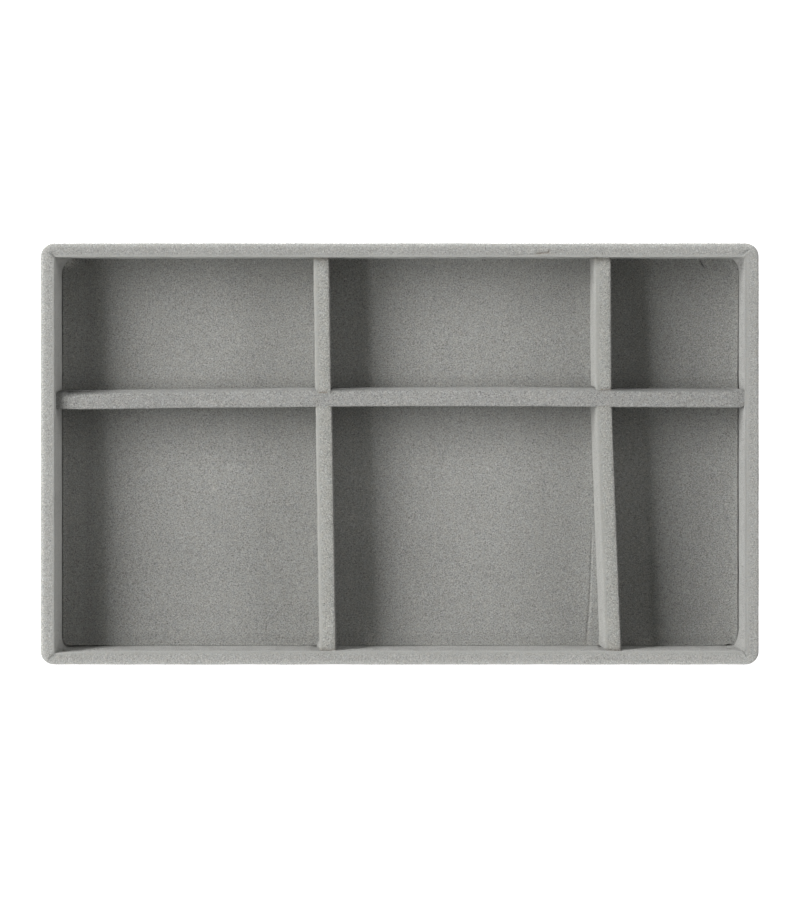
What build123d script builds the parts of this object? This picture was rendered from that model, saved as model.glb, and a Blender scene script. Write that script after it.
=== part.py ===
from build123d import *
import os
from math import cos, radians, sin

# Jewelry display tray: board walls and dividers wrapped in velour, six open compartments.
# Millimetres. X runs along the tray, +Y to its back, +Z up, with the origin at the middle of the underside.

# Tray outline
tray_length = 240.0
tray_depth = 141.0
tray_height = 30.0
outer_corner_radius = 4.2

# Boards and cloth
cloth_thickness = 1.0
wall_board_thickness = 2.5
base_board_thickness = 2.0
floor_card_thickness = 1.0
lining_thickness = 0.4

# Wall cloth
rim_roll_radius = 1.2
bottom_roll_radius = 0.8
corner_fold_radius_low = 4.6
corner_fold_radius_high = 0.6
hem_width = 10.0
hem_cut_width = 0.3
join_x = 48.0
join_gap = 0.3

# Floor pad
floor_pad_gap = 0.4
floor_edge_radius = 0.7

# Underside
infill_gap = 0.5
lining_inset = 3.0
lining_corner_radius = 3.0

# Dividers
divider_drop = 3.0
long_divider_y = 18.9
long_divider_board = 4.2
cross_divider_board = 3.4
divider_roll_radius = 1.4
divider_end_radius = 1.9
divider_square_end_radius = 1.5
divider_end_gap = 0.2

# Each short divider: where its line meets the long divider, which way it runs and how far it is turned
cross_dividers = {
    "left_back_divider": {"x": -25.9, "side": 1, "skew": 0.8},
    "right_back_divider": {"x": 68.0, "side": 1, "skew": 0.3},
    "left_front_divider": {"x": -25.9, "side": -1, "skew": 0.8},
    "right_front_divider": {"x": 68.0, "side": -1, "skew": 2.2},
}

# Plan sizes that follow
frame_length = tray_length - 2 * cloth_thickness
frame_depth = tray_depth - 2 * cloth_thickness
frame_corner_radius = outer_corner_radius - cloth_thickness
base_length = frame_length - 2 * wall_board_thickness
base_depth = frame_depth - 2 * wall_board_thickness
inner_length = base_length - 2 * cloth_thickness
inner_depth = base_depth - 2 * cloth_thickness
pad_length = inner_length - 2 * floor_pad_gap
pad_depth = inner_depth - 2 * floor_pad_gap
pad_corner_radius = corner_fold_radius_low - floor_pad_gap

# Levels that follow
hem_low = lining_thickness
boards_low = hem_low + cloth_thickness
base_top = boards_low + base_board_thickness
card_top = base_top + floor_card_thickness
floor_top = card_top + cloth_thickness
boards_top = tray_height - cloth_thickness
divider_top = tray_height - divider_drop
divider_height = divider_top - floor_top


def slab(length, depth, low, high, corner=0.0):
    """A flat block centred on the tray, from one level to another, with round upright corners."""
    outline = RectangleRounded(length, depth, corner) if corner else Rectangle(length, depth)
    return Pos(0, 0, low) * extrude(outline, amount=high - low)


def wall_ring():
    """The whole frame of wall boards, round outside and square inside, before it is cut at the mitres."""
    outside = slab(frame_length, frame_depth, boards_low, boards_top, frame_corner_radius)
    return outside - slab(base_length, base_depth, boards_low, boards_top)


def mitred_wall(along_x, side):
    """One wall board, cut from the ring by two planes at 45 degrees through its inner corners."""
    half_length, half_depth = base_length / 2, base_depth / 2
    reach = wall_board_thickness
    if along_x:
        corners = [
            (-half_length, side * half_depth),
            (half_length, side * half_depth),
            (half_length + reach, side * (half_depth + reach)),
            (-half_length - reach, side * (half_depth + reach)),
        ]
    else:
        corners = [
            (side * half_length, -half_depth),
            (side * half_length, half_depth),
            (side * (half_length + reach), half_depth + reach),
            (side * (half_length + reach), -half_depth - reach),
        ]
    plan = make_face(Polyline(*corners, close=True))
    sector = extrude(plan, amount=boards_top - boards_low, dir=(0, 0, 1))
    return wall_ring() & (Pos(0, 0, boards_low) * sector)


def compartment_space():
    """The space inside the wall cloth, whose corners are wide at the floor and pinch in at the rim."""
    low = Pos(0, 0, base_top) * RectangleRounded(inner_length, inner_depth, corner_fold_radius_low)
    high = Pos(0, 0, tray_height) * RectangleRounded(inner_length, inner_depth, corner_fold_radius_high)
    return loft([low, high], ruled=True)


def wall_join():
    """The thin gap where the two ends of the wall cloth meet, right through the back wall and its hem."""
    middle_y = (tray_depth - hem_width) / 2
    gap = Box(join_gap, 2 * hem_width, 2 * tray_height)
    return Pos(join_x, middle_y, 0) * gap


def hem_cut(side_x, side_y):
    """The thin snip from the window to a corner of the hem, which lets the turned cloth lie flat."""
    window_corner = (side_x * (tray_length / 2 - hem_width), side_y * (tray_depth / 2 - hem_width))
    length = 2 * (hem_width - outer_corner_radius)
    blade = Box(length, hem_cut_width, 2 * boards_low)
    return Pos(*window_corner, 0) * Rot(0, 0, side_x * side_y * 45) * blade


def wall_cover():
    """The velour strip: up the outside, over the rim, down the inside, with a hem turned under."""
    outside = slab(tray_length, tray_depth, hem_low, tray_height, outer_corner_radius)
    window = slab(tray_length - 2 * hem_width, tray_depth - 2 * hem_width, hem_low, boards_low)
    base = slab(base_length, base_depth, boards_low, base_top)
    cover = outside - wall_ring() - base - compartment_space() - window
    cover = fillet(cover.faces().sort_by(Axis.Z)[-1].edges(), rim_roll_radius)
    sole = cover.faces().sort_by(Axis.Z)[0]
    cover = fillet(sole.outer_wire().edges(), bottom_roll_radius)
    for side_x, side_y in ((1, 1), (-1, 1), (-1, -1), (1, -1)):
        cover -= hem_cut(side_x, side_y)
    return cover - wall_join()


def base_board():
    """The stiff bottom, glued between the wall boards."""
    return slab(base_length, base_depth, boards_low, base_top)


def floor_card():
    """The card inside the floor pad."""
    edge = 2 * cloth_thickness
    corner = pad_corner_radius - cloth_thickness
    return slab(pad_length - edge, pad_depth - edge, base_top, card_top, corner)


def floor_cover():
    """The velour of the floor pad, over the card and down round its edges."""
    pad = slab(pad_length, pad_depth, base_top, floor_top, pad_corner_radius)
    pad = fillet(pad.faces().sort_by(Axis.Z)[-1].edges(), floor_edge_radius)
    return pad - floor_card()


def underside_infill():
    """The card that fills the underside level inside the turned-under hem."""
    edge = 2 * (hem_width + infill_gap)
    return slab(tray_length - edge, tray_depth - edge, hem_low, boards_low)


def underside_lining():
    """The thin sheet that closes the underside and covers the raw edge of the hem."""
    edge = 2 * lining_inset
    return slab(tray_length - edge, tray_depth - edge, 0, hem_low, lining_corner_radius)


def divider_board(length, board):
    """The stiff board inside a divider, lying along X with its foot at the floor."""
    size = (length - 2 * cloth_thickness, board, divider_height - cloth_thickness)
    return Pos(0, 0, floor_top) * Box(*size, align=(Align.CENTER, Align.CENTER, Align.MIN))


def divider_cover(length, board, back_end_radius):
    """The velour over a divider: round along the top and at both ends, open at the foot."""
    plan = Rectangle(length, board + 2 * cloth_thickness)
    plan = fillet(plan.vertices().group_by(Axis.X)[0], divider_end_radius)
    plan = fillet(plan.vertices().group_by(Axis.X)[-1], back_end_radius)
    cover = Pos(0, 0, floor_top) * extrude(plan, amount=divider_height)
    cover = fillet(cover.faces().sort_by(Axis.Z)[-1].edges(), divider_roll_radius)
    return cover - divider_board(length, board)


def long_divider():
    """Where the long divider lies, and its length between the end walls."""
    return Pos(0, long_divider_y, 0), inner_length - 2 * divider_end_gap


def cross_divider(x, side, skew):
    """Where a short divider lies, and its length from the long divider to the front or back wall."""
    start_y = long_divider_y + side * (long_divider_board / 2 + cloth_thickness + divider_end_gap)
    end_y = side * (inner_depth / 2 - divider_end_gap)
    length = abs(end_y - start_y) / cos(radians(skew))
    middle_x = x - side * sin(radians(skew)) * length / 2
    place = Pos(middle_x, (start_y + end_y) / 2, 0) * Rot(0, 0, 90 + skew)
    return place, length


def build():
    """Every piece by its name."""
    place, length = long_divider()
    pieces = {
        "front_wall_board": mitred_wall(True, -1),
        "back_wall_board": mitred_wall(True, 1),
        "left_wall_board": mitred_wall(False, -1),
        "right_wall_board": mitred_wall(False, 1),
        "wall_cover": wall_cover(),
        "base_board": base_board(),
        "floor_card": floor_card(),
        "floor_cover": floor_cover(),
        "underside_infill": underside_infill(),
        "underside_lining": underside_lining(),
        "long_divider_board": place * divider_board(length, long_divider_board),
        "long_divider_cover": place * divider_cover(length, long_divider_board, divider_end_radius),
    }
    for name, where in cross_dividers.items():
        place, length = cross_divider(**where)
        back_end_radius = divider_end_radius if where["side"] > 0 else divider_square_end_radius
        pieces[name + "_board"] = place * divider_board(length, cross_divider_board)
        pieces[name + "_cover"] = place * divider_cover(length, cross_divider_board, back_end_radius)
    return pieces


os.makedirs("parts", exist_ok=True)
for name, piece in build().items():
    export_step(piece, f"parts/{name}.step")
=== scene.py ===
from math import cos, pi, radians, sin

import bpy
import numpy as np
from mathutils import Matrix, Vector, noise


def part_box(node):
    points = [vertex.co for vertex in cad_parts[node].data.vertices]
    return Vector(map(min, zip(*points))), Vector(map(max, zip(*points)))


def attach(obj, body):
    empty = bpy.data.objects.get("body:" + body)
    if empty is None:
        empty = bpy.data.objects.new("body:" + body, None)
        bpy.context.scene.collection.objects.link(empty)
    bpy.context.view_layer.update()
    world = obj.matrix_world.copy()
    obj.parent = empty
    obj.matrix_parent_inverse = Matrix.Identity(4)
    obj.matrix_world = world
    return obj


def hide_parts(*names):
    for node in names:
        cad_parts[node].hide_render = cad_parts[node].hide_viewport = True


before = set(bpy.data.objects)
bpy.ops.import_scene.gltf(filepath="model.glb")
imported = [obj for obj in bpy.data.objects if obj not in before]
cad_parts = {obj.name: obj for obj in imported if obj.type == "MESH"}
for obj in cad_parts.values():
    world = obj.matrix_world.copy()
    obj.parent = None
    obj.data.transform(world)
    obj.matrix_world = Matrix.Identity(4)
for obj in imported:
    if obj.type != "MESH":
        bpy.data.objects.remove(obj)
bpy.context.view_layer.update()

mm = 0.001

# Boards and card.
# Grey board pressed from waste paper: four wall boards, the base, the card in the floor pad, the boards in
# the dividers and the infill underneath. They are cut to size and glued, and show only round the pad.


def feed(tree, socket, value):
    """Sets a node's input, or links it to the output that feeds it."""
    if isinstance(value, bpy.types.NodeSocket):
        tree.links.new(value, socket)
    else:
        socket.default_value = value


def add_node(tree, kind, settings=None, **inputs):
    """One node; an input is a value or the output that feeds it."""
    made = tree.nodes.new(kind)
    for key, value in (settings or {}).items():
        setattr(made, key, value)
    for name, value in inputs.items():
        feed(tree, made.inputs[name.replace("_", " ")], value)
    return made


def add_maths(tree, operation, *values):
    """The result of one sum on two or three values or outputs."""
    made = tree.nodes.new("ShaderNodeMath")
    made.operation = operation
    for socket, value in zip(made.inputs, values):
        feed(tree, socket, value)
    return made.outputs[0]


def add_blend(tree, kind, factor, first, second):
    """Two colours laid over each other."""
    made = tree.nodes.new("ShaderNodeMix")
    made.data_type, made.blend_type, made.clamp_result = "RGBA", kind, True
    for socket, value in zip((made.inputs[0], made.inputs[6], made.inputs[7]), (factor, first, second)):
        feed(tree, socket, value)
    return made.outputs[2]


def add_noise(tree, place, per_mm, **pattern):
    """Smooth noise at each place, with so many waves to the millimetre."""
    return add_node(tree, "ShaderNodeTexNoise", Vector=place, Scale=per_mm, **pattern).outputs[0]


def add_grey(tree, value):
    """The neutral colour of one brightness."""
    return add_node(tree, "ShaderNodeCombineColor", Red=value, Green=value, Blue=value).outputs[0]


def new_group(name, inputs, outputs):
    """An empty shader group with its named sockets, and the two nodes that hold them."""
    group = bpy.data.node_groups.new(name, "ShaderNodeTree")
    for socket, kind, value in inputs:
        made = group.interface.new_socket(socket, in_out="INPUT", socket_type=kind)
        made.default_value = value
    for socket, kind in outputs:
        group.interface.new_socket(socket, in_out="OUTPUT", socket_type=kind)
    return group, group.nodes.new("NodeGroupInput").outputs, group.nodes.new("NodeGroupOutput").inputs


def place_in_millimetres(tree):
    """The piece's own coordinates, counted in millimetres."""
    place = add_node(tree, "ShaderNodeTexCoord").outputs["Object"]
    scaled = add_node(tree, "ShaderNodeVectorMath", {"operation": "SCALE"}, Vector=place, Scale=1 / mm)
    return scaled.outputs[0]


def new_material(name, **finish):
    """A material with its principled shader, whose constant finish is set on the shader itself."""
    material = bpy.data.materials.new(name)
    material.use_nodes = True
    shader = material.node_tree.nodes["Principled BSDF"]
    for socket, value in finish.items():
        shader.inputs[socket.replace("_", " ")].default_value = value
    return material, material.node_tree, shader


def grey_board():
    """Pressed paper: a warm grey with short pale and dark fibres and a slightly furry surface."""
    material, tree, shader = new_material("grey board", Roughness=0.92, Specular_IOR_Level=0.25)
    place = place_in_millimetres(tree)
    pulp = add_noise(tree, place, 0.9, Detail=4.0, Roughness=0.6)
    fibre = add_noise(tree, place, 5.5, Detail=2.0, Distortion=2.2)
    flecks = add_maths(tree, "GREATER_THAN", fibre, 0.66)
    fleck_colour = (0.5, 0.47, 0.42, 1)
    tone = add_node(tree, "ShaderNodeValToRGB", Fac=pulp)
    tone.color_ramp.elements[0].color = (0.17, 0.155, 0.135, 1)
    tone.color_ramp.elements[1].color = (0.34, 0.315, 0.28, 1)
    faint = add_maths(tree, "MULTIPLY", flecks, 0.35)
    flecked = add_blend(tree, "MIX", faint, tone.outputs[0], fleck_colour)
    tree.links.new(flecked, shader.inputs["Base Color"])
    height = add_maths(tree, "ADD", add_maths(tree, "MULTIPLY", fibre, 0.6), pulp)
    furry = add_node(tree, "ShaderNodeBump", Height=height, Strength=0.5, Distance=0.12 * mm)
    tree.links.new(furry.outputs[0], shader.inputs["Normal"])
    return material


board_pieces = [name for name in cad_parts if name.endswith(("_board", "_card", "_infill"))]
board_finish = grey_board()
for name in board_pieces:
    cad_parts[name].data.materials.clear()
    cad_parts[name].data.materials.append(board_finish)

# Wall cloth.
# One strip of pale grey velour, a short cut pile on a knit back. It is glued up the outside of the boards,
# rolled over the rim, pinched into the inner corners, brought down to the base, and lapped in the back rim.


def add_painted(tree, name):
    """The number that was painted on the points of a piece under that name."""
    return add_node(tree, "ShaderNodeAttribute", {"attribute_name": name}).outputs["Fac"]


def velour_nap():
    """The look of cut pile: tufts with painted shade between them, single fibres, brushed patches and traces
    of glue.

    Painted light and shade, and a painted smoothing of the speckle, come from layers painted on each piece.
    """
    inputs = [
        ("Tips", "NodeSocketColor", (0.5, 0.5, 0.49, 1)),
        ("Tuft size", "NodeSocketFloat", 0.38),
        ("Tuft height", "NodeSocketFloat", 0.25),
        ("Contrast", "NodeSocketFloat", 2.1),
        ("Brushing", "NodeSocketFloat", 0.1),
    ]
    outputs = [("Colour", "NodeSocketColor"), ("Normal", "NodeSocketVector")]
    group, given, result = new_group("velour nap", inputs, outputs)
    place = place_in_millimetres(group)
    per_tuft = add_maths(group, "DIVIDE", 1.0, given["Tuft size"])
    tufts = add_noise(group, place, per_tuft, Detail=1.5, Roughness=0.5, Distortion=0.8)
    fibres = add_noise(group, place, add_maths(group, "MULTIPLY", per_tuft, 2.7), Detail=1.0)
    combed = add_painted(group, "combed")
    contrast = add_maths(group, "MULTIPLY", given["Contrast"], add_maths(group, "SUBTRACT", 1.0, combed))
    # Darker between the tufts: painted shade in the gaps of the pile. It is less where a painted layer marks
    # that the light hides the pile's relief.
    depth = add_maths(group, "MULTIPLY_ADD", add_maths(group, "SUBTRACT", tufts, 0.5), contrast, 1.0)
    brushed_and_painted_light = add_noise(group, place, 0.045, Detail=3.0, Distortion=0.6)
    patches = add_maths(group, "SUBTRACT", brushed_and_painted_light, 0.5)
    shade = add_maths(group, "MULTIPLY_ADD", patches, given["Brushing"], 1.0)
    each = add_maths(group, "MULTIPLY_ADD", add_painted(group, "tuft"), 0.1, depth)
    # Brighter or darker by a painted layer: painted light and shade, on top of the cloth's own brushed
    # patches.
    brushed_with_painted_light = add_maths(group, "MULTIPLY", shade, add_maths(group, "ADD", 1.0, add_painted(group, "lie")))
    grey = add_maths(group, "MULTIPLY", brushed_with_painted_light, each)
    shaded = add_blend(group, "MULTIPLY", 1.0, given["Tips"], add_grey(group, grey))
    warm = add_noise(group, place, 0.8, Detail=2.0)
    tint = add_node(group, "ShaderNodeValToRGB", Fac=warm)
    tint.color_ramp.elements[0].position, tint.color_ramp.elements[1].position = 0.3, 0.7
    tint.color_ramp.elements[0].color = (0.975, 0.99, 1.0, 1)
    tint.color_ramp.elements[1].color = (1.0, 0.985, 0.955, 1)
    dyed = add_blend(group, "MULTIPLY", 1.0, shaded, tint.outputs[0])
    # The glue layer mixes in a dark brown. It is real glue at the short dividers' ends by the walls, painted
    # shade in the back rim's slit and the floor's long crease, and glue with painted shade at the short
    # dividers' ends by the long one.
    glue = add_painted(group, "glue")
    glue_colour = (0.2, 0.15, 0.1, 1)
    specks = add_node(
        group, "ShaderNodeMapRange", Value=fibres, From_Min=0.4, From_Max=0.62, To_Min=0.35, To_Max=1.0
    ).outputs[0]
    glue_and_shade_amount = add_maths(group, "MULTIPLY", glue, specks)
    group.links.new(add_blend(group, "MIX", glue_and_shade_amount, dyed, glue_colour), result["Colour"])
    relief = add_node(
        group,
        "ShaderNodeBump",
        Height=add_maths(group, "MULTIPLY_ADD", fibres, 0.25, tufts),
        Strength=1.0,
        Distance=add_maths(group, "MULTIPLY", given["Tuft height"], mm),
    )
    group.links.new(relief.outputs[0], result["Normal"])
    return group


nap = velour_nap()


def velour(name, tips, sheen=0.5, **look):
    """Velour for one piece: the shared nap under a matt shader with the soft sheen of cut pile."""
    matt = {"Roughness": 1.0, "Diffuse_Roughness": 1.0, "Specular_IOR_Level": 0.05}
    material, tree, shader = new_material(name, **matt, Sheen_Weight=sheen, Sheen_Roughness=0.5)
    shader.inputs["Sheen Tint"].default_value = (0.97, 0.97, 0.94, 1)
    pile = add_node(tree, "ShaderNodeGroup", {"node_tree": nap}, Tips=(*tips, 1), **look)
    tree.links.new(pile.outputs["Colour"], shader.inputs["Base Color"])
    tree.links.new(pile.outputs["Normal"], shader.inputs["Normal"])
    return material


def spaced(start, end, step):
    """Evenly spaced values from start to end, both in, about one step apart."""
    return np.linspace(start, end, max(1, round(abs(end - start) / step)) + 1)


def round_the_tray(step, corner_steps, closer=()):
    """Stations once round a rectangle: where each corner arc is centred, as a share, and which way is out.

    closer holds (from, to, step) shares of the back side where the stations lie closer together."""
    length, depth = 2 * tray_half
    along = {
        "back": spaced(1, -1, 2 * step / length),
        "left": spaced(1, -1, 2 * step / depth),
        "front": spaced(-1, 1, 2 * step / length),
        "right": spaced(-1, 1, 2 * step / depth),
    }
    for first, last, fine in closer:
        kept = along["back"][(along["back"] > first) | (along["back"] < last)]
        along["back"] = np.sort(np.concatenate([kept, spaced(first, last, fine)]))[::-1]
    sides = [
        ("back", lambda share: (share, 1), 90),
        ("left", lambda share: (-1, share), 180),
        ("front", lambda share: (share, -1), 270),
        ("right", lambda share: (1, share), 360),
    ]
    centres, angles = [], []
    for name, where, facing in sides:
        for share in along[name]:
            centres.append(where(share))
            angles.append(facing)
        for angle in np.linspace(facing, facing + 90, corner_steps + 1)[1:-1]:
            centres.append(where(along[name][-1]))
            angles.append(angle)
    turns = np.radians(angles)
    return np.array(centres), np.column_stack([np.cos(turns), np.sin(turns)])


def outline(stations, half, radius):
    """Plan points of a rounded rectangle; the radius is one number, or one pair for each station."""
    centres, outward = stations
    radius = np.broadcast_to(np.asarray(radius, float), centres.shape)
    return centres * (np.array(half) - radius) + radius * outward


def arc(centre, radius, start, end, steps):
    """Points (inward, up) on an arc of a section, angles in degrees from straight inward."""
    turns = np.radians(np.linspace(start, end, steps + 1))
    return [(centre[0] + radius * cos(turn), centre[1] + radius * sin(turn)) for turn in turns]


def lifted(plan, up):
    """Plan points lifted to a level, or each to a level of its own."""
    return np.column_stack([plan, np.broadcast_to(up, len(plan))])


def lumps(points, size, seed):
    """Smooth noise from -1 to 1 at each point, with features of about that size."""
    shift = Vector((seed * 17.3, seed * 5.1, seed * 9.7))
    return np.array([noise.noise(Vector(point) / size + shift) for point in points])


def mesh_piece(name, points, faces, material):
    """A smooth piece of the tray, from points in millimetres."""
    mesh = bpy.data.meshes.new(name)
    mesh.from_pydata((np.asarray(points) * mm).tolist(), [], faces)
    mesh.polygons.foreach_set("use_smooth", [True] * len(mesh.polygons))
    mesh.materials.append(material)
    mesh.update()
    piece = bpy.data.objects.new(name, mesh)
    bpy.context.scene.collection.objects.link(piece)
    return piece


def paint(piece, name, values):
    """Keeps one number for each point of a piece, for its material or its pile."""
    layer = piece.data.attributes.new(name, "FLOAT", "POINT")
    layer.data.foreach_set("value", np.asarray(values, np.float32))


def ring_faces(rows, count, closed_rows=True):
    """Quads between rows of points that each run once round. Open rows get a face at both ends."""
    faces = []
    for row in range(rows if closed_rows else rows - 1):
        low, high = row * count, (row + 1) % rows * count
        for i in range(count):
            after = (i + 1) % count
            faces.append((low + i, low + after, high + after, high + i))
    if not closed_rows:
        faces += [tuple(range(count))[::-1], tuple(range((rows - 1) * count, rows * count))]
    return faces


def normals_of(points, faces):
    """Unit normals at the points of a mesh."""
    mesh = bpy.data.meshes.new("normals")
    mesh.from_pydata(points.tolist(), [], faces)
    mesh.update()
    found = np.empty(len(points) * 3, np.float32)
    mesh.vertex_normals.foreach_get("vector", found)
    bpy.data.meshes.remove(mesh)
    return found.reshape(-1, 3)


def along_path(points, path):
    """For each point, how far it is from a plan path, and its share of the way along."""
    path = np.array(path, float)
    lengths = np.linalg.norm(np.diff(path, axis=0), axis=1)
    starts = np.concatenate([[0], np.cumsum(lengths)[:-1]])
    nearest, share = np.full(len(points), np.inf), np.zeros(len(points))
    for start, end, length, before in zip(path, path[1:], lengths, starts):
        along = np.clip(((points[:, :2] - start) @ (end - start)) / length**2, 0, 1)
        away = np.linalg.norm(points[:, :2] - start - along[:, None] * (end - start), axis=1)
        closer = away < nearest
        nearest[closer] = away[closer]
        share[closer] = ((before + along * length) / lengths.sum())[closer]
    return nearest, share


def near(values, width, at=0.0):
    """1 where a value is at a place, falling smoothly to almost nothing two widths away."""
    return np.exp(-(((values - at) / width) ** 2))


def groove(points, path, width, depth, start=0.35):
    """How far points sink for a crease along a plan path, which runs out at both ends.

    start is the share of its depth that it has where it starts."""
    away, share = along_path(points, path)
    fade = np.clip(np.minimum(share * 4 + start, (1 - share) * 4 + 0.35), 0, 1)
    return depth * fade * near(away, width)


def cut_pile():
    """Geometry nodes that plant tufts on a cloth: short three-sided points that lean every way."""
    group = bpy.data.node_groups.new("cut pile", "GeometryNodeTree")
    sockets = [
        ("Cloth", "NodeSocketGeometry"),
        ("Length", "NodeSocketFloat"),
        ("Width", "NodeSocketFloat"),
        ("Lean", "NodeSocketFloat"),
        ("Seed", "NodeSocketInt"),
        ("Finish", "NodeSocketMaterial"),
    ]
    for name, kind in sockets:
        group.interface.new_socket(name, in_out="INPUT", socket_type=kind)
    group.interface.new_socket("Pile", in_out="OUTPUT", socket_type="NodeSocketGeometry")
    given = group.nodes.new("NodeGroupInput").outputs
    density = add_node(group, "GeometryNodeInputNamedAttribute", {"data_type": "FLOAT"}, Name="pile")
    roots = add_node(
        group,
        "GeometryNodeDistributePointsOnFaces",
        Mesh=given["Cloth"],
        Density=add_maths(group, "DIVIDE", density.outputs[0], mm**2),
        Seed=given["Seed"],
    )
    strand = add_node(
        group,
        "GeometryNodeMeshCone",
        {"fill_type": "NGON"},
        Vertices=3,
        Radius_Top=0.0,
        Radius_Bottom=add_maths(group, "MULTIPLY", given["Width"], 0.5),
        Depth=given["Length"],
    )
    least_lean = add_maths(group, "MULTIPLY", given["Lean"], -1.0)
    lean_low = add_node(group, "ShaderNodeCombineXYZ", X=least_lean, Y=least_lean, Z=-pi).outputs[0]
    lean_high = add_node(group, "ShaderNodeCombineXYZ", X=given["Lean"], Y=given["Lean"], Z=pi).outputs[0]
    leaning = add_node(group, "FunctionNodeRandomValue", {"data_type": "FLOAT_VECTOR"}, Seed=given["Seed"])
    group.links.new(lean_low, leaning.inputs[0])
    group.links.new(lean_high, leaning.inputs[1])
    turn = add_node(group, "FunctionNodeEulerToRotation", Euler=leaning.outputs[0]).outputs[0]
    standing = add_node(group, "FunctionNodeRotateRotation", {"rotation_space": "LOCAL"})
    group.links.new(roots.outputs["Rotation"], standing.inputs[0])
    group.links.new(turn, standing.inputs[1])
    sizes = add_node(group, "FunctionNodeRandomValue", {"data_type": "FLOAT_VECTOR"}, Seed=7)
    sizes.inputs[0].default_value, sizes.inputs[1].default_value = (0.75, 0.75, 0.6), (1.25, 1.25, 1.2)
    planted = add_node(
        group,
        "GeometryNodeInstanceOnPoints",
        Points=roots.outputs["Points"],
        Instance=strand.outputs["Mesh"],
        Rotation=standing.outputs[0],
        Scale=sizes.outputs[0],
    ).outputs[0]
    shade = add_node(group, "FunctionNodeRandomValue", {"data_type": "FLOAT"}, Seed=11)
    shade.inputs[2].default_value, shade.inputs[3].default_value = -1.0, 1.0
    shaded = add_node(
        group, "GeometryNodeStoreNamedAttribute", {"domain": "INSTANCE"}, Geometry=planted, Name="tuft"
    )
    group.links.new(shade.outputs[1], shaded.inputs["Value"])
    real = add_node(group, "GeometryNodeRealizeInstances", Geometry=shaded.outputs[0]).outputs[0]
    smooth = add_node(group, "GeometryNodeSetShadeSmooth", Geometry=real).outputs[0]
    dyed = add_node(group, "GeometryNodeSetMaterial", Geometry=smooth, Material=given["Finish"]).outputs[0]
    group.links.new(dyed, group.nodes.new("NodeGroupOutput").inputs["Pile"])
    return group


pile_maker = cut_pile()


def grow_pile(name, cloth, per_square_mm, seed, length=0.5, width=0.13, lean=0.7):
    """The pile of one cloth as a piece of its own, with so many tufts to the square mm at each point."""
    if "pile" in cloth.data.attributes:
        cloth.data.attributes.remove(cloth.data.attributes["pile"])
    paint(cloth, "pile", per_square_mm)
    maker = cloth.modifiers.new("pile", "NODES")
    maker.node_group = pile_maker
    values = {
        "Length": length * mm,
        "Width": width * mm,
        "Lean": lean,
        "Seed": seed,
        "Finish": cloth.data.materials[0],
    }
    for socket in pile_maker.interface.items_tree:
        if socket.name in values:
            maker[socket.identifier] = values[socket.name]
    grown = cloth.evaluated_get(bpy.context.evaluated_depsgraph_get())
    mesh = bpy.data.meshes.new_from_object(grown)
    cloth.modifiers.remove(maker)
    pile = bpy.data.objects.new(name, mesh)
    bpy.context.scene.collection.objects.link(pile)
    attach(pile, "root")
    return pile


tray_low, tray_high = (np.array(corner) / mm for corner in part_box("wall_cover"))
tray_half = (tray_high - tray_low)[:2] / 2
rim = tray_high[2]
hem_level = tray_low[2]
boards_low, base_level = (corner.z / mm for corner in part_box("base_board"))

# The cloth's thickness and how far its pile lifts it, the wrapped wall's thickness, the hem's width, and the
# radii of the outer corners and of the rolls: over the rim outside, across and down, then inside, and below.
cloth = 1.0
pile_height = 0.1
wall = 4.5
hem = 10.0
outer_radius = 4.2
outer_roll, inner_roll = (1.7, 1.1), 0.45
sole_roll = 0.8

# How wide the cloth rounds each inner corner at the floor, along X and along Y; at the rim it is pinched in.
corner_folds = {(1, 1): (2.9, 5.4), (-1, 1): (4.9, 6.3), (-1, -1): (2.3, 4.2), (1, -1): (1.9, 6.6)}
corner_pinch = 0.5

# The stations stand closer between these shares of the back side, where the strip's ends are lapped. Each
# station belongs to one corner; halfway along a side, the way out decides.
by_the_lap = (0.43, 0.29, 0.0018)
stations = round_the_tray(step=0.85, corner_steps=22, closer=[by_the_lap])
corner_of = np.sign(stations[0] + 1e-9 * stations[1]).astype(int)
fold_low = np.array([corner_folds[tuple(corner)] for corner in corner_of.tolist()])


def wall_section():
    """The strip's section as (inward, up) points, in three parts once round: outside, inside, board side."""
    outside = [(inward, hem_level) for inward in (hem, 8.0, 6.0, 4.0, 2.4)]
    outside += arc((sole_roll, hem_level + sole_roll), sole_roll, 270, 180, 4)
    across, down = outer_roll
    outside += [(0, z) for z in spaced(hem_level + sole_roll, rim - down, 0.95)[1:-1]]
    turns = np.linspace(0, pi / 2, 8)
    outside += [(across - across * cos(turn), rim - down + down * sin(turn)) for turn in turns]
    outside += [(inward, rim) for inward in spaced(across, wall - inner_roll, 0.3)[1:-1]]
    outside += arc((wall - inner_roll, rim - inner_roll), inner_roll, 90, 0, 5)
    inside = [(wall, z) for z in spaced(rim - inner_roll, base_level, 0.9)[1:]]
    board = [(wall - cloth, base_level), (wall - cloth, rim - cloth), (cloth, rim - cloth)]
    board += [(cloth, boards_low), (hem, boards_low)]
    return outside, inside, board


def wall_corner_radius(part, inward, up):
    """Plan radii of the corners for one row of the section: one number, or a pair for each station."""
    if part == "board":
        return outer_radius - cloth if inward < wall - cloth else 0.05
    if up < rim / 2 and part == "outside":
        return max(outer_radius - inward, 0.05)
    share = (rim - up) / (rim - base_level)
    fold = (fold_low - corner_pinch) * share
    if part == "inside":
        return corner_pinch + fold
    return outer_radius + (corner_pinch - outer_radius) * inward / wall + fold * (inward / wall) ** 4


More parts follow.
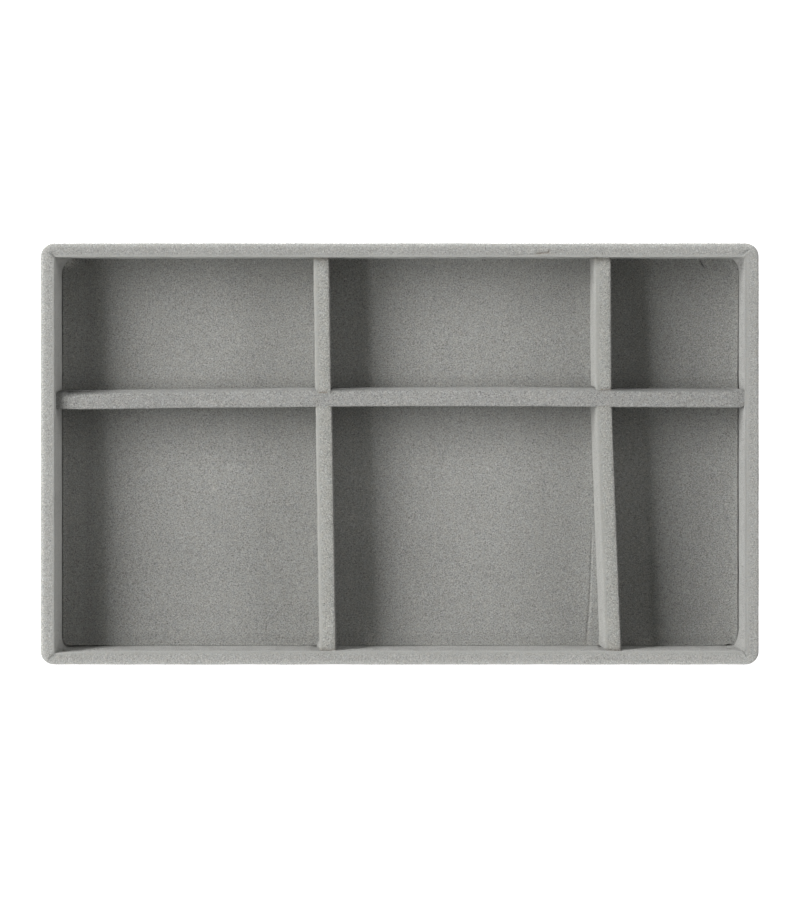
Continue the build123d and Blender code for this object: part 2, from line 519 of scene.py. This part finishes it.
rows, inwards, parts = [], [], []
for part, section in zip(("outside", "inside", "board"), wall_section()):
    for inward, up in section:
        plan = outline(stations, tray_half - inward, wall_corner_radius(part, inward, up))
        rows.append(lifted(plan, up))
        inwards.append(inward)
        parts.append(part)
count = len(stations[0])
wall_points = np.concatenate(rows)
wall_faces = ring_faces(len(rows), count)
wall_normals = normals_of(wall_points, wall_faces)
wall_x, wall_y, wall_z = wall_points.T
part_of, inward_of = np.repeat(parts, count), np.repeat(inwards, count)
outer_side, inner_side = part_of == "outside", part_of == "inside"
seen = (part_of != "board").astype(float)
near_rim = np.clip((wall_z - (rim - 4)) / 3, 0, 1) * seen

# The cloth isn't quite flat on its boards, and is drawn into a crease at each mitre of the rim, given by its
# plan path, width and depth. Its last centimetre laps over the start of the strip on the back rim, in a step
# that ends in a short open slit.
wavy = 0.08 * lumps(wall_points, 11.0, 1) + 0.03 * lumps(wall_points, 3.2, 2) + pile_height
rim_creases = {
    "back_left": ([(-115.1, 65.9), (-116.2, 67.0), (-117.0, 67.6)], 0.5, 0.45),
    "back_right": ([(114.4, 66.2), (115.9, 67.6), (117.3, 68.6)], 0.25, 0.4),
    "front_left": ([(-115.2, -66.4), (-116.5, -67.8), (-117.8, -69.1)], 0.5, 0.36),
    "front_right": ([(114.2, -65.6), (115.4, -66.2), (115.9, -67.3), (116.5, -68.2)], 0.3, 0.4),
    "front_right_fainter": ([(115.6, -66.3), (117.9, -68.0)], 0.35, 0.15),
}
for path, width, depth in rim_creases.values():
    wavy -= near_rim * groove(wall_points, path, width, depth)
lap_start = 37.4
lap_step = [(lap_start, 66.55), (44.6, 66.65), (45.9, 67.15)]
lap_slit = [(45.9, 67.15), (47.8, 67.25), (49.6, 67.3), (49.9, 68.2)]
wavy -= near_rim * (groove(wall_points, lap_step, 0.2, 0.3) + groove(wall_points, lap_slit, 0.2, 0.8))
lap_away, lap_share = along_path(wall_points, lap_step + lap_slit[1:])
on_lap = (wall_y > 66.6 + 0.055 * (wall_x - lap_start)) * (lap_share > 0) * (lap_share < 1)
wavy += near_rim * on_lap * 0.22 * near(lap_away, 1.3)
wall_points += wall_normals * (wavy * seen)[:, None]

# The front board is bowed out near its left end. The front and right ones lean out a little towards their
# feet, and the left and right ones are wrapped more loosely outside.
bowed = np.clip(1 - (wall_x + tray_half[0] - wall) / 22, 0, 1) ** 1.5 * (wall_y < 0)
wall_y -= 0.7 * bowed * seen * np.clip((inward_of - 2.2) / 2.0, 0, 1) * (wall_z > base_level)
facing = np.tile(stations[1], (len(rows), 1))
ways = ((-1, 0), (1, 0), (0, 1), (0, -1))
on_left, on_right, on_back, on_front = (np.clip(facing @ way, 0, 1) ** 2 for way in ways)
down = (rim - wall_z) / (rim - base_level)
wall_y -= 0.45 * on_front * down * inner_side
wall_x += 0.5 * on_right * down * inner_side
wall_x += (0.2 * on_right - 0.24 * on_left) * outer_side * np.exp(-inward_of)

# The long divider's right end and both front dividers' ends press into the cloth. Each press has an axis, a
# place along it, which way the cloth is pushed along the other axis, and its wall.
presses = ((1, 18.7, 1, on_right), (0, -26.6, -1, on_front), (0, 71.3, -1, on_front))
for axis, at, way, on_side in presses:
    beside = np.exp(-np.abs((wall_points[:, axis] - at) / 3.2) ** 6)
    below_rim = np.clip((rim - 0.5 - wall_z) / 2, 0, 1) * inner_side
    wall_points[:, 1 - axis] += way * 0.35 * on_side * beside * below_rim

# The cloth turns more softly over the right board's inner edge.
softened = 1.7
over_edge = np.column_stack([inward_of - wall + softened, wall_z - rim + softened])
beyond = np.linalg.norm(over_edge, axis=1)
pulled = (over_edge.min(axis=1) > 0) * (beyond > softened) * seen * on_right
pulled *= softened / np.maximum(beyond, 0.1) - 1
wall_points[:, :2] -= facing * (over_edge[:, 0] * pulled)[:, None]
wall_z += over_edge[:, 1] * pulled

# Painted light and shade: the left and back inner faces are lighter, the left one less towards its foot, and
# the right and front ones darker. The rim is lighter along its outer edge, most on the right, a little darker
# on top at the right, back and front, and lighter along the back rim's inner edge. The two left mitre creases
# are darker.
down_inside = np.clip((inward_of - 4.0) / 0.4, 0, 1) * np.clip((rim - wall_z) / 0.35, 0, 1)
lie = down_inside * (on_left * (0.32 - 0.1 * down) - 0.25 * on_right + 0.38 * on_back - 0.16 * on_front)
outer_edge = near(inward_of, 1.3) * near_rim
lie += outer_edge * (0.15 + 0.15 * on_right)
lie -= near_rim * (1 - down_inside) * (0.1 * on_right + 0.05 * on_back + 0.03 * on_front)
lie += 0.15 * on_back * near(inward_of, 0.5, wall) * near_rim * (1 - down_inside)
for corner in ("back_left", "front_left"):
    lie -= near_rim * groove(wall_points, rim_creases[corner][0], 0.7, 0.18)

# The walls, floor and dividers share one velour. Each copy has tips of its own brightness, painted light and
# shade for how each piece takes the light. The walls' tips are the lightest.
wall_velour = velour("wall velour", (0.495, 0.495, 0.48), Contrast=1.75)
wall_cloth = mesh_piece("wall_cloth", wall_points, wall_faces, wall_velour)
paint(wall_cloth, "lie", lie)
# Painted light: the speckle is smoothed on the inner faces, most on the right one, where the light hides the
# pile's relief.
paint(wall_cloth, "combed", 0.75 * np.clip((inward_of - 3.4 + 0.8 * on_right) / 0.7, 0, 1))
# The open slit is darkened in the glue's brown: glue and painted shade in the slit.
slit_away = along_path(wall_points, lap_slit)[0]
paint(wall_cloth, "glue", near_rim * near(slit_away, 0.3) * 0.9)
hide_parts("wall_cover")
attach(wall_cloth, "root")

on_rim = outer_side & (wall_z > rim - 1.4)
on_inside = inner_side & (wall_z > base_level + 2)
on_outside = outer_side & (wall_z <= rim - 1.4)
on_hem = on_outside & (wall_z < hem_level + 0.3)
slit = near(slit_away, 0.35) * near_rim
wall_pile = [
    grow_pile("rim_pile", wall_cloth, on_rim * 1.8 * (1 - slit) * np.clip(inward_of - 0.9, 0, 1), seed=1),
    grow_pile("inner_wall_pile", wall_cloth, on_inside * 1.0, seed=2),
    grow_pile("outer_wall_pile", wall_cloth, on_outside * ~on_hem * 1.5, seed=3, length=0.3),
]

# Floor pad.
# A loose-cut card wrapped in the same velour and pushed down between the walls. It is creased where it was
# pressed in, and its back right corner has ridden up on the wall cloth.

pad_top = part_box("floor_cover")[1].z / mm
pad_left, pad_right, pad_front, pad_back = -115.2, 115.56, -66.26, 65.87
pad_half = np.array([pad_right - pad_left, pad_back - pad_front]) / 2
pad_shift = np.array([pad_right + pad_left, pad_back + pad_front]) / 2
pad_roll = 0.25

# Its corners are cut a little tighter than the folds of the wall cloth.
tighter = 0.78
pad_corners = {corner: tighter * np.array(fold) for corner, fold in corner_folds.items()}
# The floor's copy of the velour has darker tips than the walls': painted shade.
floor_velour = velour("floor velour", (0.38, 0.38, 0.367), Brushing=0.16)


def pad_lines(half, step, *creased):
    """Grid lines across the pad, close together where the edge rolls over and where it is creased."""
    edge = [0, 0.04, 0.1, 0.17, 0.25, 0.8]
    inner = spaced(-half + 1.6, half - 1.6, step)
    for first, last in creased:
        kept = inner[(inner < first) | (inner > last)]
        inner = np.sort(np.concatenate([kept, spaced(first, last, 0.16)]))
    return np.concatenate([[-half + e for e in edge], inner, [half - e for e in edge[::-1]]])


def rounded_corner(x, y, half, folds):
    """Moves a point of a rectangular grid so that the grid's corner square fills a rounded corner."""
    side_x, side_y = (1 if x >= 0 else -1), (1 if y >= 0 else -1)
    round_x, round_y = folds[(side_x, side_y)]
    into_x, into_y = (abs(x) - (half[0] - round_x)) / round_x, (abs(y) - (half[1] - round_y)) / round_y
    if into_x <= 0 or into_y <= 0:
        return x, y
    turn = (pi / 4) * (into_y / into_x if into_x > into_y else 2 - into_x / into_y)
    out = max(into_x, into_y)
    return (
        side_x * (half[0] - round_x + round_x * out * cos(turn)),
        side_y * (half[1] - round_y + round_y * out * sin(turn)),
    )


grid_x = pad_lines(pad_half[0], 0.95, (62.6, 67.4), (101.2, 104.6))
grid_y = pad_lines(pad_half[1], 0.95, (61.6, 64.4))
grid = [(x, y) for y in grid_y for x in grid_x]
columns, last_row = len(grid_x), (len(grid_y) - 1) * len(grid_x)
top = np.array([rounded_corner(x, y, pad_half, pad_corners) for x, y in grid])
from_edge = np.array([min(pad_half[0] - abs(x), pad_half[1] - abs(y), pad_roll) for x, y in grid])
drop = pad_roll - np.sqrt(np.maximum(pad_roll**2 - (pad_roll - from_edge) ** 2, 0))
pad_points = np.column_stack([top, pad_top - drop])
pad_faces = [
    (start + i, start + i + 1, start + columns + i + 1, start + columns + i)
    for start in range(0, last_row, columns)
    for i in range(columns - 1)
]
above = [*range(columns), *range(2 * columns - 1, last_row + columns, columns)]
above += [*range(last_row + columns - 2, last_row - 1, -1), *range(last_row - columns, 0, -columns)]

# The cloth goes down round the edge, in under the card and up to it.
edge_points = pad_points[above]
inner_share = (pad_half - cloth) / pad_half
skirts = [((1, 1), base_level + 0.5), ((1, 1), base_level)]
skirts += [(inner_share, base_level), (inner_share, pad_top - cloth)]
for share, level in skirts:
    skirt = lifted(edge_points[:, :2] * share, level)
    below = list(range(len(pad_points), len(pad_points) + len(skirt)))
    pad_points = np.concatenate([pad_points, skirt])
    pad_faces += zip(above, below, below[1:] + below[:1], above[1:] + above[:1])
    above = below
pad_faces.append(tuple(above))
pad_x, pad_y, pad_z = pad_points.T
on_top = (pad_z > pad_top - pad_roll - 0.01).astype(float)

# Its front edge was pushed in at two places, and its right edge stands closer to the wall towards the back.
for x, width, depth in ((112.4, 1.1, 0.55), (78.6, 3.5, 0.2)):
    front_edge = np.clip((1.5 - pad_half[1] - pad_y) / 1.5, 0, 1)
    pad_y += depth * near(pad_x, width, x) * front_edge
right_edge = np.clip((pad_x - pad_half[0] + 1.5) / 1.5, 0, 1)
pad_x += 0.24 * right_edge * np.clip((pad_y - 30) / 25, 0, 1)
pad_points[:, :2] += pad_shift

# Its top is scuffed, creased in two places, and lifted at the back right corner.
scuffs = 0.07 * lumps(pad_points, 16.0, 3) + 0.03 * lumps(pad_points, 4.0, 4)
pad_creases = {
    "beside_right_front_divider": ([(65.9, -22), (65.3, -42), (65.0, -50), (63.6, -68)], 0.38, 0.22),
    "at_back_wall": ([(102.3, 65.9), (102.9, 64.8), (104.1, 62.9)], 0.22, 0.5),
}
for path, width, depth in pad_creases.values():
    scuffs -= groove(pad_points, path, width, depth, start=0)
to_corner = np.hypot(pad_x - pad_half[0], pad_y - pad_half[1])
scuffs += 0.8 * np.clip(1 - to_corner / 11.0, 0, 1) ** 1.5
pad_z += scuffs * on_top

# Painted light and shade on the floor: lighter along its edges, in the back left corner, along the lifted
# back right corner, in a strip right of the long crease, and in the shadows beside the front dividers and by
# the front wall there.
# It is darker towards the front and in the right compartments. Bands of painted light and shade reshape the
# edges of the left wall's and the dividers' shadows, each an X, a width and a change.
crease = np.array(pad_creases["beside_right_front_divider"][0])
crease_away, crease_share = along_path(pad_points, crease)
right_of_crease = pad_x > np.interp(pad_y, crease[::-1, 1], crease[::-1, 0])
by_crease = near(crease_away, 1.5) * np.clip(crease_share * 4, 0, 1) * on_top
to_edge = (pad_half - np.abs(pad_points[:, :2] - pad_shift)).min(axis=1)
painted_edge_light = 0.15 * near(to_edge, 1.0) + 0.05 * near(to_edge, 3.0)
painted_right_shade = -0.07 * np.clip((pad_x - 84) / 6, 0, 1)
painted_light_spots = 0.8 * np.exp(-(((pad_x + 113.2) / 2.6) ** 2) - ((pad_y - 64.6) / 1.5) ** 2) * on_top
painted_light_spots += groove(pad_points, [(111.1, 66.1), (113.9, 63.0), (115.2, 59.3)], 1.1, 0.2) * on_top
for x in (-16.0, 78.0):
    painted_light_spots += 0.1 * near(pad_x, 8, x) * (pad_y < 16)
    painted_light_spots += 0.25 * near(pad_y, 5, -66) * near(pad_x - x, 4.5, 7)
brushed_and_painted_light = -0.05 * near(pad_y, 5, -56)
painted_shadow_edges = [(-105.8, 2.5, -0.09), (-100.4, 3.0, 0.06), (-9.5, 2.6, 0.16)]
painted_shadow_edges += [(58.0, 5.0, -0.05), (84.3, 3.2, 0.14), (102.0, 6.0, -0.06)]
for x, width, change in painted_shadow_edges:
    brushed_and_painted_light += change * near(pad_x, width, x)

# Painted shade in the crease by the back wall.
painted_crease_shade = groove(pad_points, pad_creases["at_back_wall"][0], 0.25, 0.6, start=0)
floor_cloth = mesh_piece("floor_cloth", pad_points, pad_faces, floor_velour)
lie = 0.1 * by_crease * right_of_crease + painted_edge_light + painted_right_shade + painted_light_spots + brushed_and_painted_light - painted_crease_shade
paint(floor_cloth, "lie", lie)
# The long crease is darkened in the glue's brown: painted shade.
in_crease = near(crease_away, 0.5) * np.clip(crease_share * 2 - 1, 0, 1)
paint(floor_cloth, "glue", 0.25 * by_crease * in_crease)
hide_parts("floor_cover")
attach(floor_cloth, "root")

# Dividers.
# Boards wrapped in velour, softly round along one edge of the top and tight along the other. The long one
# runs from wall to wall. The short ones are glued between it and the walls, and lap over its shoulders.

tight_roll, end_roll = 0.5, 0.2
crown = 0.2
foot = pad_top
# The dividers' copies have tips of their own brightness: painted light and shade. The long one's has less
# sheen.
long_velour = velour("long divider velour", (0.431, 0.431, 0.4205), sheen=0.25)
short_velour = velour("short divider velour", (0.442, 0.442, 0.422))


def divider_mesh(length, width, top, soft_roll, corners):
    """A wrapped divider along X about the origin: points, faces, and 1 for each point that shows.

    Its soft edge is on +y. corners are the plan radii at +x +y, -x +y, -x -y and +x -y."""
    half = np.array([length / 2, width / 2])
    centres, turns = [], []
    apart = 0.36
    for side, turn in ((1, 90), (-1, 270)):
        for share in spaced(side, -side, 2 * apart / length):
            centres.append((share, side))
            turns.append(turn)
        quarter = np.linspace(0, 90, 9)[1:]
        across_end = spaced(side, -side, 2 * apart / width)[1:]
        centres += [(-side, side)] * 8 + [(-side, share) for share in across_end] + [(-side, -side)] * 7
        turns += [*(turn + quarter), *(turn + 90 + 0 * across_end), *(turn + 90 + quarter[:-1])]
    centres, turns = np.array(centres, float), np.radians(turns)
    around = centres, np.column_stack([np.cos(turns), np.sin(turns)])
    first, soft = centres[:, 0] > 0, centres[:, 1] > 0
    end_radius = np.select([first & soft, ~first & soft, ~first & ~soft], corners[:3], corners[3])[:, None]
    roll = tight_roll + (soft_roll - tight_roll) * (1 + np.sin(turns)) / 2
    roll += (end_roll - roll) * np.clip((np.abs(np.cos(turns)) - 0.6) / 0.3, 0, 1)
    board_side = outline(around, half - cloth, 0.3)
    rows = [lifted(board_side, level) for level in (top - cloth, foot)]

    # Each row has a step and a share. The share goes up the face, the step from 0 to 1 round the roll and
    # from 1 to 2 over the top, up to a narrow strip along the middle.
    middle_strip = 0.12
    section = [(0.0, share) for share in spaced(0, 1, 0.05)[:-1]]
    section += [(step, 1.0) for step in spaced(0, 1, 0.14)]
    section += [(1 + step, 1.0) for step in spaced(0, 1, 0.125)[1:]]
    for step, share in section:
        turned = min(step, 1.0) * pi / 2
        inward = roll * (1 - cos(turned))
        inward = inward + max(step - 1, 0) * (half[1] - middle_strip - roll)
        up = foot + (top - crown - roll - foot) * share + roll * sin(turned)
        plan = outline(around, half - inward[:, None], np.maximum(end_radius - inward[:, None], 0.05))
        up = up + crown * (1 - (plan[:, 1] / half[1]) ** 2) * (step > 0)
        rows.append(lifted(plan, up))
    faces = ring_faces(len(rows), len(turns), closed_rows=False)
    return np.concatenate(rows), faces, np.repeat([0.0] * 2 + [1.0] * len(section), len(turns))


def place_divider(points, middle, turn):
    """Turns plan points about the origin and moves them to the divider's middle."""
    cosine, sine = cos(radians(turn)), sin(radians(turn))
    x, y, z = points.T
    return np.column_stack([x * cosine - y * sine + middle[0], x * sine + y * cosine + middle[1], z])


def uneven(points, faces, seen, broad_seed, small_seed):
    """A divider's points with its cloth in broad and small waves, a little low to leave room for the pile."""
    bulge = 0.08 * lumps(points, 9.0, broad_seed) + 0.03 * lumps(points, 3.0, small_seed) - pile_height
    return points + normals_of(points, faces) * (bulge * seen)[:, None]


def wrap_divider(name, size, shape, finish, **painted):
    """The divider's cloth and pile as pieces."""
    (length, width), (points, faces, seen) = size, shape
    piece = mesh_piece(name + "_cloth", points, faces, finish)
    for layer, values in painted.items():
        paint(piece, layer, values)
    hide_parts(name + "_cover")
    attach(piece, "root")
    up = np.clip((points[:, 2] - (divider_top - 2.5)) / 1.2, 0, 1)
    thick = seen * (1.0 + 1.5 * up) * (points[:, 2] > foot + 0.8)
    pile = grow_pile(name + "_pile", piece, thick, seed=sum(map(ord, name)), length=0.35)


end_gap, pressed_in, pressed_in_front = 0.05, 0.1, 0.4
long_low, long_high = (np.array(corner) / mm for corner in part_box("long_divider_cover"))
long_length, long_width = 2 * (tray_half[0] - wall + pressed_in), (long_high - long_low)[1]
long_y = (long_low + long_high)[1] / 2
divider_top = long_high[2]

# Each short divider: where its line meets the long one, which way it runs and how far it is out of square;
# how wide it is, how softly its left edge is rolled, how far its top leans to the right, how far it laps over
# the long one's shoulder, and how far its cloth flares at the foot by the front wall. Then its corners' plan
# radii, from the back left round by the front, and how wide a band along its left edge has its painted
# speckle smoothed, as painted light where the light falls square. Last, where its end by the long one is
# darkened, as (from X, to X, strength): glue that came through, and painted shade under the end.
short_dividers = {
    "left_back_divider": dict(
        x=-26.1, side=1, skew=0.8, width=5.4, roll=1.4, lean=0.4, lap=1.85, flare=0.0,
        corners=(0.3, 0.7, 0.6, 0.3), combed=1.5, glue=[(-27.9, -27.0, 0.35), (-26.9, -24.5, 1.0)],
    ),
    "right_back_divider": dict(
        x=68.0, side=1, skew=0.3, width=5.6, roll=1.8, lean=0.4, lap=0.75, flare=0.0,
        corners=(0.3, 0.8, 0.4, 0.3), combed=1.7, glue=[(67.6, 68.1, 1.0), (68.6, 71.0, 0.7)],
    ),
    "left_front_divider": dict(
        x=-25.8, side=-1, skew=0.95, width=5.6, roll=1.4, lean=0.3, lap=0.4, flare=1.2,
        corners=(0.3, 0.6, 0.6, 0.3), combed=1.2, glue=[(-24.4, -23.4, 0.6)],
    ),
    "right_front_divider": dict(
        x=67.8, side=-1, skew=2.2, width=5.5, roll=1.8, lean=0.75, lap=0.4, flare=0.5,
        corners=(0.3, 1.4, 0.5, 0.3), combed=1.0, glue=[(66.0, 70.5, 0.4)],
    ),
}

# The long board was pushed a little out of line by the short ones. Its right end presses into the wall cloth,
# its left end has sunk, and its back shoulder gives way under the two short ones behind it.
corners = (1.5, 1.9, 0.6, 1.2)
points, faces, seen = divider_mesh(long_length, long_width, divider_top, soft_roll=1.4, corners=corners)
points = uneven(place_divider(points, (0, long_y), 0), faces, seen, 5, 6)
x, y, z = points.T
bent_at = [-115, -103, -94, -80, -50, -33, -15, 0, 24, 45, 85, 100, 115]
bent_back = [-0.75, -0.75, -0.65, -0.5, -0.25, 0.1, 0.05, 0.05, 0.25, 0.2, -0.25, -0.25, -0.25]
bent_front = [-0.9, -0.9, -0.8, -0.62, -0.4, -0.2, 0.0, 0.05, 0.05, 0.0, -0.25, -0.37, -0.37]
back, front = (np.interp(x, bent_at, bend) for bend in (bent_back, bent_front))
from_middle = (y - long_y) / long_width
y += seen * (back * (0.5 + from_middle) + front * (0.5 - from_middle))
x += 0.35 * seen * (x > long_length / 2 - 1.5)
sunk_end = np.clip((-x - (long_length / 2 - 3.5)) / 3.5, 0, 1) * np.clip((z - 20) / 8, 0, 1)
z -= 0.3 * sunk_end * seen
for name in ("left_back_divider", "right_back_divider"):
    under = np.clip(1 - np.abs(x - short_dividers[name]["x"]) / 3.3, 0, 1) ** 0.5
    over = np.clip((y - (long_y + long_width / 2 - short_dividers[name]["lap"])) / 0.8, 0, 1)
    z -= 0.5 * under * over * seen * (z > foot + 10)

# Painted shadow and shade: its back edge and back face are darker, most in the left wall's shadow at the left
# end and in each short divider's shadow on its right side, and more on its right part. Its left end and right
# part are a little darker all over.
painted_shadow = 0.7 * np.clip((x + 115) / 4, 0, 1) * near(np.maximum(x + 106, 0), 9)
for right_side, strength in ((-23.2, 0.7), (71.2, 0.55)):
    painted_shadow += strength * (x > right_side) * near(x, 13.5, right_side)
dark = painted_shadow + np.interp(x, [-116, -112, 57, 84, 111, 114], [0.0, 0.2, 0.2, 0.35, 0.35, 0.05])
wide = 1.2 + 0.3 * np.clip((-85 - x) / 15, 0, 1) + 0.7 * np.clip((-104 - x) / 7, 0, 1)
wide += 0.3 * np.clip((-17 - x) / 6, 0, 1) * (x > -25)
from_back = long_y + long_width / 2 + back - y
crest_lie = dark * np.clip((wide - from_back) / (0.78 * wide), 0, 1)
face_lie = np.clip(1.25 * dark - 0.25, 0, 0.6) * (from_back < 0.6) * (z > foot + 2)
lie = -np.where(z > divider_top - 2, crest_lie, face_lie)
lie += np.interp(x, [-112, -106, 60, 85, 115], [-0.1, 0.0, 0.0, -0.08, -0.1])
# Painted light: the speckle is smoothed along the back edge.
glue, combed = np.zeros(len(points)), 0.6 * np.clip((1.2 - from_back) / 0.6, 0, 1)
size, shape = (long_length, long_width), (points, faces, seen)
wrap_divider("long_divider", size, shape, long_velour, glue=glue, lie=lie, combed=combed)

for index, (name, divider) in enumerate(short_dividers.items()):
    side, skew, width = divider["side"], divider["skew"], divider["width"]
    start_y = long_y + side * (long_width / 2 + end_gap)
    end_y = side * (tray_half[1] - wall + (pressed_in if side > 0 else pressed_in_front))
    length = abs(end_y - start_y) / cos(radians(skew))
    middle = (divider["x"] - side * sin(radians(skew)) * length / 2, (start_y + end_y) / 2)
    points, faces, seen = divider_mesh(length, width, divider_top, divider["roll"], divider["corners"])
    along, across, up = points.T
    to_end = length / 2 + side * along - end_roll
    nose = np.clip(1 - to_end / 3, 0, 1)
    high = np.clip((up - (divider_top - 6)) / 5, 0, 1)
    flared = divider["flare"] * np.clip(1 - (along + length / 2) / 3.2, 0, 1) * (across > 0)
    flared = flared * np.clip((divider_top - 2 - up) / 12, 0, 1) * seen
    from_left = width / 2 - across
    to_right = np.clip(2 * from_left / width - 1, 0, 1)
    points = place_divider(points, middle, 90 + skew)
    points = uneven(points, faces, seen, 7 + index, 11 + index)
    x, y, z = points.T
    y -= side * (divider["lap"] + end_gap) * nose * high * seen
    x += divider["lean"] * (z - foot) / (divider_top - foot) * seen - flared
    at_wall = near(y, 1.2, end_y)
    glue = (0.4 * at_wall + 0.1 * at_wall ** (1 / 6)) * seen * high
    # At the end by the long one: glue that came through, and painted shade under the end.
    for start, end, strength in divider["glue"]:
        beside = np.maximum(np.maximum(start - x, x - end), 0)
        glue += strength * nose * high * near(beside, 0.15) * near(to_end, 0.35)
    # Painted light and shade: the top is lighter over its left half and darker towards its right edge, and
    # the faces turned to the left are darker, most on the right dividers, which are also darker overall. The
    # painted speckle is smoothed on those faces and along the left edge, where the light falls square.
    on_face = np.clip(-1.6 * normals_of(points, faces)[:, 0], 0, 1)
    face_shade, darker = (0.13, 0.05) if divider["x"] > 0 else (0.08, 0)
    lie = (0.1 - 0.2 * to_right**2) * high - face_shade * on_face - darker
    combed = 0.75 * np.maximum(on_face, np.clip((divider["combed"] - from_left) / 0.6 + 0.5, 0, 1))
    size, shape = (length, width), (points, faces, seen)
    wrap_divider(name, size, shape, short_velour, glue=glue, lie=lie, combed=combed)

# Underside lining.
# A sheet of thin pressed felt glued over the turned-in hem and the infill card. It is cut a little small, so
# the hem shows as a narrow border, and its edges lie nearly flat.

lining_low, lining_high = (np.array(corner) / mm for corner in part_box("underside_lining"))
lining_half = (lining_high - lining_low)[:2] / 2
lining_radius = 3.0


def pressed_felt():
    """Fibres pressed flat every way, with a few darker ones and a slightly pilled surface."""
    material, tree, shader = new_material("lining felt", Roughness=0.95, Specular_IOR_Level=0.15)
    place = place_in_millimetres(tree)
    fibre = add_noise(tree, place, 2.2, Detail=4.0, Distortion=2.5)
    cloud = add_noise(tree, place, 0.12, Detail=3.0)
    tone = add_node(tree, "ShaderNodeValToRGB", Fac=fibre)
    tone.color_ramp.elements[0].position, tone.color_ramp.elements[1].position = 0.3, 0.7
    tone.color_ramp.elements[0].color = (0.15, 0.15, 0.147, 1)
    tone.color_ramp.elements[1].color = (0.29, 0.29, 0.283, 1)
    worn = add_node(
        tree, "ShaderNodeMapRange", Value=cloud, From_Min=0.3, From_Max=0.7, To_Min=0.88, To_Max=1.05
    ).outputs[0]
    clouded = add_blend(tree, "MULTIPLY", 1.0, tone.outputs[0], add_grey(tree, worn))
    tree.links.new(clouded, shader.inputs["Base Color"])
    relief = add_node(tree, "ShaderNodeBump", Height=fibre, Strength=0.8, Distance=0.12 * mm)
    tree.links.new(relief.outputs[0], shader.inputs["Normal"])
    return material


lining_stations = round_the_tray(step=2.0, corner_steps=8)
lining_rings, lining_edge = (45.0, 20.0, 4.0, 0.12), 0.08
lining_section = [(inward, 0.0) for inward in lining_rings]
lining_section += [(0, lining_edge), (0, lining_high[2] - lining_edge)]
lining_section += [(inward, lining_high[2]) for inward in lining_rings[::-1]]
rows = [
    lifted(outline(lining_stations, lining_half - inward, max(lining_radius - inward, 0.05)), up)
    for inward, up in lining_section
]
faces = ring_faces(len(rows), len(lining_stations[0]), closed_rows=False)
lining = mesh_piece("lining_felt", np.concatenate(rows), faces, pressed_felt())
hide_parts("underside_lining")
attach(lining, "root")

# Studio.
# A pale sweep that stays evenly white, a large soft light far to the left and slightly behind, weak ones on
# the right and in front, and a dim room. The tray is seen straight from above, as in the photograph.

# The sweep lies a hair below the tray, so that it and the lining don't share one plane.
table_reach, table_level = 3.0, -0.05 * mm
table = bpy.data.meshes.new("table")
corners = [(x * table_reach, y * table_reach, table_level) for x, y in ((-1, -1), (1, -1), (1, 1), (-1, 1))]
table.from_pydata(corners, [], [(0, 1, 2, 3)])
white, tree, shader = new_material("white sweep", Roughness=0.9, Emission_Strength=1.0)
shader.inputs["Base Color"].default_value = (0.85, 0.85, 0.85, 1)
shader.inputs["Emission Color"].default_value = (1, 1, 1, 1)
table.materials.append(white)
sweep = bpy.data.objects.new("table", table)
bpy.context.scene.collection.objects.link(sweep)


def soft_light(name, low, high, power, turn=0):
    """A level rectangle of light high above, given by the slopes at which its edges stand from the tray."""
    height = 3.5
    lamp = bpy.data.lights.new(name, "AREA")
    lamp.shape, lamp.energy = "RECTANGLE", power
    lamp.size, lamp.size_y = ((high[i] - low[i]) * height for i in (0, 1))
    placed = bpy.data.objects.new(name, lamp)
    placed.location = ((low[0] + high[0]) / 2 * height, (low[1] + high[1]) / 2 * height, height)
    placed.rotation_euler.z = radians(turn)
    bpy.context.scene.collection.objects.link(placed)


soft_light("key", low=(-2.2, -0.3), high=(-0.62, 1.0), power=720.0, turn=6)
soft_light("fill", low=(0.9, -0.3), high=(2.6, 1.0), power=245.0)
soft_light("front fill", low=(-0.8, -2.4), high=(1.2, -1.1), power=93.0)

world = bpy.data.worlds.new("room")
world.use_nodes = True
tree = world.node_tree
looking = add_node(tree, "ShaderNodeTexCoord").outputs["Generated"]
toward = add_node(tree, "ShaderNodeSeparateXYZ", Vector=looking)
at_level = {"From_Min": -0.1, "From_Max": 0.1, "To_Min": 0.7, "To_Max": 0.05}
glow = add_node(tree, "ShaderNodeMapRange", Value=toward.outputs["Z"], **at_level)
tree.links.new(glow.outputs[0], tree.nodes["Background"].inputs["Strength"])
tree.nodes["Background"].inputs["Color"].default_value = (1, 1, 1, 1)
bpy.context.scene.world = world

# The tray stands off the middle of the photograph, whose longer side is its height, by these pixels.
photo_height, off_middle = 908, (1.1, -123)
camera = bpy.data.cameras.new("camera")
camera.lens, camera.sensor_width = 140.6, 36.0
camera.shift_x, camera.shift_y = (pixels / photo_height for pixels in off_middle)
camera_object = bpy.data.objects.new("camera", camera)
camera_object.location = (-0.27 * mm, 41.2 * mm, 1.217)
bpy.context.scene.collection.objects.link(camera_object)
bpy.context.scene.camera = camera_object
bpy.context.scene.view_settings.view_transform = "Standard"
